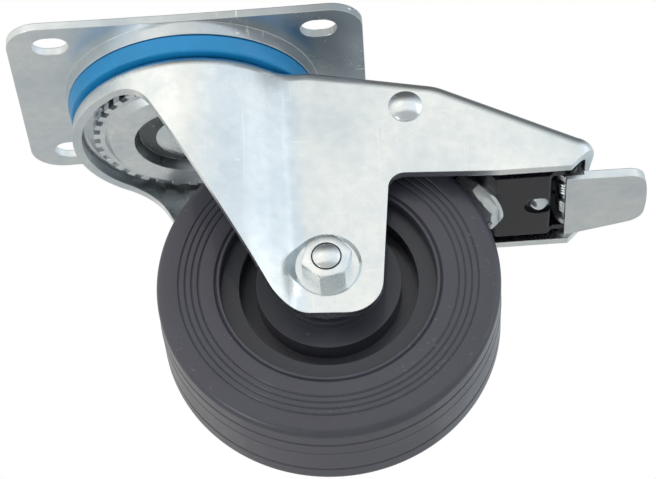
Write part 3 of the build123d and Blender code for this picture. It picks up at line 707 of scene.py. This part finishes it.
def floor_rivet():
    """Mesh of the domed rivet in the brake arm's floor."""
    low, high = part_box("floor_rivet")
    centre = (low + high) / 2
    radius = (high.x - low.x) / 2
    height = high.z - low.z
    place = Matrix.Translation((centre.x, centre.y, high.z)) @ Matrix.Rotation(-pi / 2, 4, "X")
    outline = [*dome(radius, height - FLOOR_RIVET_RISE, height), (0.0, 0.0)]
    return turned_mesh("floor_rivet_body", outline, FLOOR_RIVET_SEGMENTS, place)


def ridged_face():
    """Mesh of the rounded ridges on the brake bolt's six-sided face."""
    across = Vector((sin(BRAKE_ANGLE), 0.0, -cos(BRAKE_ANGLE)))
    outward = Vector((-cos(BRAKE_ANGLE), 0.0, -sin(BRAKE_ANGLE)))
    vertices = []
    for ring in range(RIDGE_STEPS + 1):
        share = ring / RIDGE_STEPS
        lift = RIDGE_HEIGHT * (0.5 - 0.5 * cos(2 * pi * RIDGE_COUNT * share))
        for step in range(RIDGE_SEGMENTS):
            angle = 2 * pi * step / RIDGE_SEGMENTS
            edge = hexagon_reach(RIDGE_REACH, angle + HEX_SIDE_ANGLE / 2)
            spot = Vector((0.0, cos(angle), 0.0)) + across * sin(angle)
            vertices.append(BRAKE_FACE + spot * (edge * share) + outward * lift)
    faces = loop_faces(RIDGE_STEPS + 1, RIDGE_SEGMENTS)
    return smooth_mesh("brake_bolt_ridges", vertices, faces)


def half_tyre(sizes, tread):
    """Section of the tyre's far half as corners (radius, y, rounding), from the rim to the tread."""
    side = TYRE_HALF_WIDTH
    corners = [
        (RIM_RADIUS, RIM_HALF_WIDTH, FLOOR_ROUNDING),
        (RIM_RADIUS, side, LIP_INNER_ROUNDING),
        (RIM_RADIUS + LIP_WIDTH, side, LIP_OUTER_ROUNDING),
        (RIM_RADIUS + LIP_GROOVE_FLOOR * LIP_WIDTH, side - LIP_GROOVE_DEPTH, FLOOR_ROUNDING),
        (RIM_RADIUS + LIP_GROOVE_END * LIP_WIDTH, side, LIP_GROOVE_ROUNDING),
    ]
    for radius in SIDE_RING_RADII:
        corners += [
            (radius - SIDE_RING_HALF_WIDTH, side, SIDE_RING_ROUNDING),
            (radius, side - sizes.side_ring_depth, FLOOR_ROUNDING),
            (radius + SIDE_RING_HALF_WIDTH, side, SIDE_RING_ROUNDING),
        ]
    groove_outer = TREAD_GROOVE_Y + TREAD_GROOVE_HALF_WIDTH
    groove_inner = TREAD_GROOVE_Y - TREAD_GROOVE_HALF_WIDTH
    return corners + [
        (tread, side, sizes.shoulder_radius),
        (tread, side - sizes.shoulder_radius - FLAT_START, SHARP),
        (tread, groove_outer + FLAT_START, SHARP),
        (tread, groove_outer, TREAD_GROOVE_ROUNDING),
        (tread - sizes.tread_groove_depth, TREAD_GROOVE_Y, TREAD_GROOVE_FLOOR_ROUNDING),
        (tread, groove_inner, TREAD_GROOVE_ROUNDING),
        (tread, groove_inner - FLAT_START, SHARP),
    ]


def tyre_outline(sizes):
    """Closed section of the tyre as corners (radius, y, rounding)."""
    tread = WHEEL_RADIUS - sizes.mould_line_height
    far = half_tyre(sizes, tread)
    near = [(radius, -y, rounding) for radius, y, rounding in far]
    line_start = MOULD_LINE_Y - MOULD_LINE_HALF_WIDTH
    line_end = MOULD_LINE_Y + MOULD_LINE_HALF_WIDTH
    mould_line = [
        (tread, line_start - FLAT_START, SHARP),
        (tread, line_start, SHARP),
        (WHEEL_RADIUS, MOULD_LINE_Y, SHARP),
        (tread, line_end, SHARP),
        (tread, line_end + FLAT_START, SHARP),
    ]
    return [*near, *mould_line, *reversed(far)]


class CASTOR_OT_tyre(bpy.types.Operator):
    """Turn the rubber tyre with its rings, grooves and mould line"""

    bl_idname = "castor.tyre"
    bl_label = "Tyre"

    def execute(self, context):
        rubber = moulded(
            "tyre_rubber",
            seed=1.3,
            colour=context.scene.castor_colours.rubber,
            pale=0.2,
            roughness_span=(0.36, 0.5),
            relief=0.02 * MM,
            skin_scale=1500.0,
            ring_spacing=0.5 * MM,
            coat=0.25,
        )
        outline = rounded(tyre_outline(context.scene.castor_sizes))
        mesh = turned_mesh("tyre_rubber_body", outline, TYRE_SEGMENTS, Matrix.Translation(AXLE))
        add_piece("tyre_rubber_body", mesh, rubber, "tyre")
        return {"FINISHED"}


class CASTOR_OT_wheel_centre(bpy.types.Operator):
    """Finish the moulded wheel centre and the bearing inside it"""

    bl_idname = "castor.wheel_centre"
    bl_label = "Wheel centre"

    def execute(self, context):
        colours = context.scene.castor_colours
        plastic = moulded(
            "rim_plastic",
            seed=4.1,
            colour=colours.rim,
            pale=0.3,
            roughness_span=(0.35, 0.5),
            relief=0.01 * MM,
            skin_scale=2200.0,
            ring_spacing=0.4 * MM,
            coat=0.25,
        )
        dress(plastic, "wheel_centre")
        cage = moulded(
            "cage_plastic",
            seed=6.7,
            colour=colours.cage,
            pale=0.1,
            roughness_span=(0.4, 0.5),
            relief=0.01 * MM,
            skin_scale=2200.0,
        )
        dress(cage, "bearing_cage")
        polished = plated_steel(
            "bearing_steel", seed=9.2, roughness_span=(0.1, 0.2), patch_scale=60.0, relief=0.003 * MM
        )
        dress(polished, "upper_balls", "lower_balls", "bearing_rollers")
        return {"FINISHED"}


class CASTOR_OT_pressings(bpy.types.Operator):
    """Finish the pressed sheets: plate, fork, lock disc, pawl and pedal"""

    bl_idname = "castor.pressings"
    bl_label = "Pressed steel"

    def execute(self, context):
        fork = plated_steel("zinc_fork", seed=2.4, roughness_span=(0.2, 0.36), patch_scale=26.0)
        dress(fork, "fork")
        # The plate is darkened on its near and right side by painted shade
        plate = plated_steel(
            "zinc_plate", seed=7.7, roughness_span=(0.22, 0.4), patch_scale=34.0, painted_shade=plate_painted_shade
        )
        dress(plate, "top_plate")
        # The disc's middle is darkened by painted shade round the kingpin's head
        disc = plated_steel(
            "zinc_disc",
            seed=5.2,
            roughness_span=(0.22, 0.4),
            patch_scale=70.0,
            painted_shade=hub_painted_shade,
            painted_shade_level=0.2,
        )
        dress(disc, "lock_disc")
        pedal = plated_steel(
            "zinc_pedal", seed=3.6, roughness_span=(0.25, 0.42), patch_scale=50.0, shade=0.92
        )
        dress(pedal, "pedal")
        pawl = plated_steel(
            "pawl_steel", seed=8.8, roughness_span=(0.25, 0.4), patch_scale=60.0, shade=0.85
        )
        dress(pawl, "lock_pawl")
        return {"FINISHED"}


class CASTOR_OT_fasteners(bpy.types.Operator):
    """Finish the kingpin and make or finish rivets, bolts, nuts, washers and pins"""

    bl_idname = "castor.fasteners"
    bl_label = "Fasteners"

    def execute(self, context):
        zinc = plated_steel(
            "zinc_fasteners",
            seed=11.5,
            roughness_span=(0.16, 0.34),
            patch_scale=120.0,
            relief=0.008 * MM,
        )
        dress(
            zinc,
            "axle_tube",
            "hub_washers",
            "brake_washer",
            "brake_lock_nut",
            "pawl_rivet",
            "pedal_pin",
            "kingpin",
        )
        add_piece("axle_nut_body", axle_nut(), zinc, "axle_nut")
        add_piece("axle_bolt_body", axle_shank(), zinc, "axle_bolt")
        add_trim("axle_bolt_head", axle_head(), zinc, "axle_bolt")
        add_piece("floor_rivet_body", floor_rivet(), zinc, "floor_rivet")
        polished = plated_steel(
            "pivot_steel", seed=14.2, roughness_span=(0.14, 0.26), patch_scale=90.0
        )
        add_piece("domed_pivot_body", domed_pivot(), polished, "brake_pivot")
        head = plated_steel(
            "ridged_head", seed=13.1, roughness_span=(0.4, 0.6), patch_scale=150.0, metallic=0.6
        )
        dress(head, "brake_bolt")
        add_trim("brake_bolt_ridges", ridged_face(), head, "brake_bolt")
        return {"FINISHED"}


class CASTOR_OT_springs(bpy.types.Operator):
    """Wind the pedal's two springs from round wire"""

    bl_idname = "castor.springs"
    bl_label = "Pedal springs"

    def execute(self, context):
        wire = plated_steel(
            "spring_wire",
            seed=12.2,
            roughness_span=(0.14, 0.3),
            patch_scale=200.0,
            relief=0.004 * MM,
        )
        add_piece("spring_wire_body", wound_springs(), wire, "pedal_springs")
        return {"FINISHED"}


class CASTOR_OT_brake_arm(bpy.types.Operator):
    """Coat the brake arm in glossy black"""

    bl_idname = "castor.brake_arm"
    bl_label = "Brake arm"

    def execute(self, context):
        coating = moulded(
            "black_coat",
            seed=15.4,
            colour=context.scene.castor_colours.black,
            pale=0.35,
            roughness_span=(0.16, 0.34),
            relief=0.02 * MM,
            skin_scale=700.0,
            coat=0.1,
            specular=0.35,
        )
        dress(coating, "brake_arm")
        return {"FINISHED"}


class CASTOR_OT_dust_ring(bpy.types.Operator):
    """Finish the blue dust ring"""

    bl_idname = "castor.dust_ring"
    bl_label = "Dust ring"

    def execute(self, context):
        plastic = moulded(
            "ring_plastic",
            seed=17.9,
            colour=context.scene.castor_colours.ring_blue,
            pale=0.12,
            roughness_span=(0.3, 0.42),
            relief=0.008 * MM,
            skin_scale=1600.0,
            coat=0.15,
        )
        dress(plastic, "dust_ring")
        return {"FINISHED"}


# Camera fitted to the photograph, whose width is given in pixels
IMAGE_WIDTH = 656
FOCAL_PIXELS = 3040.7
SENSOR_WIDTH = 36.0
CAMERA_PLACE = (0.04706, -0.78876, -0.49234)
CAMERA_AZIMUTH = radians(0.624)
CAMERA_ELEVATION = radians(-28.867)
CAMERA_ROLL = radians(-3.616)
CAMERA_CLIP_START = 0.05
CAMERA_CLIP_END = 50.0

# White room: brighter in front, dark at the ceiling, warm on the left and cool on the right
FRONT = (0.0, -0.9, 0.42)
FRONT_SPAN = (-0.4, 0.82)
FRONT_LEVELS = (0.76, 1.04)
CEILING_SPAN = (0.57, 0.93)
CEILING_LEVELS = (1.0, 0.15)
TINT_SPAN = (-0.05, 0.35)
WARM_WHITE = (1.0, 0.985, 0.93)
COOL_WHITE = (0.9, 0.96, 1.0)
WHITE = (1.0, 1.0, 1.0, 1.0)

FLOOR_Z = -1.2
FLOOR_SIZE = 14.0
FLOOR_ROUGHNESS = 0.9

# Lamps, with places and sizes in metres
SOFTBOXES = (
    {
        "name": "front_softbox",
        "place": (-0.9, -1.4, 1.0),
        "aim": (0.03, 0.0, -0.06),
        "size": (1.4, 1.0),
        "watts": 0.6,
    },
    {
        "name": "side_softbox",
        "place": (1.5, -0.7, 0.2),
        "aim": (0.05, 0.0, -0.06),
        "size": (0.8, 1.2),
        "watts": 1.6,
    },
    {
        "name": "low_softbox",
        "place": (-0.85, -0.7, -0.8),
        "aim": (0.03, 0.0, -0.08),
        "size": (0.5, 0.5),
        "watts": 3.0,
    },
)


def add_camera(scene):
    """Camera at the photograph's angle, from in front of the wheel and below it."""
    data = bpy.data.cameras.new("photo_camera")
    data.sensor_width = SENSOR_WIDTH
    data.lens = FOCAL_PIXELS * SENSOR_WIDTH / IMAGE_WIDTH
    data.clip_start = CAMERA_CLIP_START
    data.clip_end = CAMERA_CLIP_END
    back = Vector((
        sin(CAMERA_AZIMUTH) * cos(CAMERA_ELEVATION),
        -cos(CAMERA_AZIMUTH) * cos(CAMERA_ELEVATION),
        sin(CAMERA_ELEVATION),
    ))
    right = Vector((cos(CAMERA_AZIMUTH), sin(CAMERA_AZIMUTH), 0.0))
    up = back.cross(right)
    rolled_right = right * cos(CAMERA_ROLL) + up * sin(CAMERA_ROLL)
    rolled_up = up * cos(CAMERA_ROLL) - right * sin(CAMERA_ROLL)
    turn = Matrix((rolled_right, rolled_up, back)).transposed()
    camera = bpy.data.objects.new("photo_camera", data)
    camera.matrix_world = Matrix.Translation(CAMERA_PLACE) @ turn.to_4x4()
    scene.collection.objects.link(camera)
    scene.camera = camera


def add_softbox(scene, name, place, aim, size, watts):
    """Large rectangular lamp that looks at a point."""
    data = bpy.data.lights.new(name, "AREA")
    data.shape = "RECTANGLE"
    data.size, data.size_y = size
    data.energy = watts
    lamp = bpy.data.objects.new(name, data)
    lamp.location = place
    lamp.rotation_mode = "QUATERNION"
    lamp.rotation_quaternion = (Vector(aim) - Vector(place)).to_track_quat("-Z", "Y")
    scene.collection.objects.link(lamp)


def add_world(scene):
    """White room for the camera, and a softly graded one for light and reflections."""
    world = bpy.data.worlds.new("studio")
    world.use_nodes = True
    tree = world.node_tree
    tree.nodes.clear()
    direction = node(tree, "ShaderNodeTexCoord").outputs["Generated"]
    parts = node(tree, "ShaderNodeSeparateXYZ", {"Vector": direction})
    frontal = vector_arithmetic(tree, "DOT_PRODUCT", direction, FRONT)
    level = spread(tree, frontal, *FRONT_SPAN, *FRONT_LEVELS)
    ceiling = spread(tree, parts.outputs["Z"], *CEILING_SPAN, *CEILING_LEVELS)
    tint = mix_colours(tree, mask(tree, parts.outputs["X"], *TINT_SPAN), WARM_WHITE, COOL_WHITE)
    strength = arithmetic(tree, "MULTIPLY", level, ceiling)
    graded = node(tree, "ShaderNodeBackground", {"Color": tint, "Strength": strength}).outputs[0]
    white = node(tree, "ShaderNodeBackground", {"Color": WHITE, "Strength": 1.0}).outputs[0]
    camera_ray = node(tree, "ShaderNodeLightPath").outputs["Is Camera Ray"]
    mixed = node(tree, "ShaderNodeMixShader", {0: camera_ray, 1: graded, 2: white}).outputs[0]
    node(tree, "ShaderNodeOutputWorld", {"Surface": mixed})
    scene.world = world


def add_floor(scene):
    """Plain pale floor, well below the castor."""
    material, _, surface = new_material("studio_floor")
    surface.inputs["Base Color"].default_value = (*scene.castor_colours.floor, 1.0)
    surface.inputs["Roughness"].default_value = FLOOR_ROUGHNESS
    half = FLOOR_SIZE / 2
    mesh = bpy.data.meshes.new("studio_floor")
    corners = [(x * half, y * half, FLOOR_Z) for x, y in ((-1, -1), (1, -1), (1, 1), (-1, 1))]
    mesh.from_pydata(corners, [], [(0, 1, 2, 3)])
    mesh.materials.append(material)
    floor = bpy.data.objects.new("studio_floor", mesh)
    scene.collection.objects.link(floor)


class CASTOR_OT_stage(bpy.types.Operator):
    """Set up the floor, the white room, the lamps and the camera"""

    bl_idname = "castor.stage"
    bl_label = "Stage"

    def execute(self, context):
        scene = context.scene
        scene.view_settings.view_transform = "Standard"
        add_world(scene)
        add_floor(scene)
        for softbox in SOFTBOXES:
            add_softbox(scene, **softbox)
        add_camera(scene)
        return {"FINISHED"}


STEPS = (
    CASTOR_OT_tyre,
    CASTOR_OT_wheel_centre,
    CASTOR_OT_pressings,
    CASTOR_OT_fasteners,
    CASTOR_OT_springs,
    CASTOR_OT_brake_arm,
    CASTOR_OT_dust_ring,
    CASTOR_OT_stage,
)


class CASTOR_PT_panel(bpy.types.Panel):
    """Sidebar panel that lists the castor's sizes, colours and steps"""

    bl_idname = "CASTOR_PT_panel"
    bl_label = "Swivel castor"
    bl_space_type = "VIEW_3D"
    bl_region_type = "UI"
    bl_category = "Castor"

    def draw(self, context):
        layout = self.layout
        for group in (context.scene.castor_sizes, context.scene.castor_colours):
            for name in group.bl_rna.properties.keys():
                if name not in ("rna_type", "name"):
                    layout.prop(group, name)
        for step in STEPS:
            layout.operator(step.bl_idname)


CLASSES = (CastorSizes, CastorColours, *STEPS, CASTOR_PT_panel)


def register():
    """Make the classes and the scene's settings known to Blender."""
    for made in CLASSES:
        bpy.utils.register_class(made)
    bpy.types.Scene.castor_sizes = PointerProperty(type=CastorSizes)
    bpy.types.Scene.castor_colours = PointerProperty(type=CastorColours)


def unregister():
    """Take the classes and settings away again."""
    del bpy.types.Scene.castor_colours
    del bpy.types.Scene.castor_sizes
    for made in reversed(CLASSES):
        bpy.utils.unregister_class(made)


def main():
    """Run every step in order."""
    register()
    for step in STEPS:
        family, name = step.bl_idname.split(".")
        getattr(getattr(bpy.ops, family), name)()


if __name__ == "__main__":
    main()
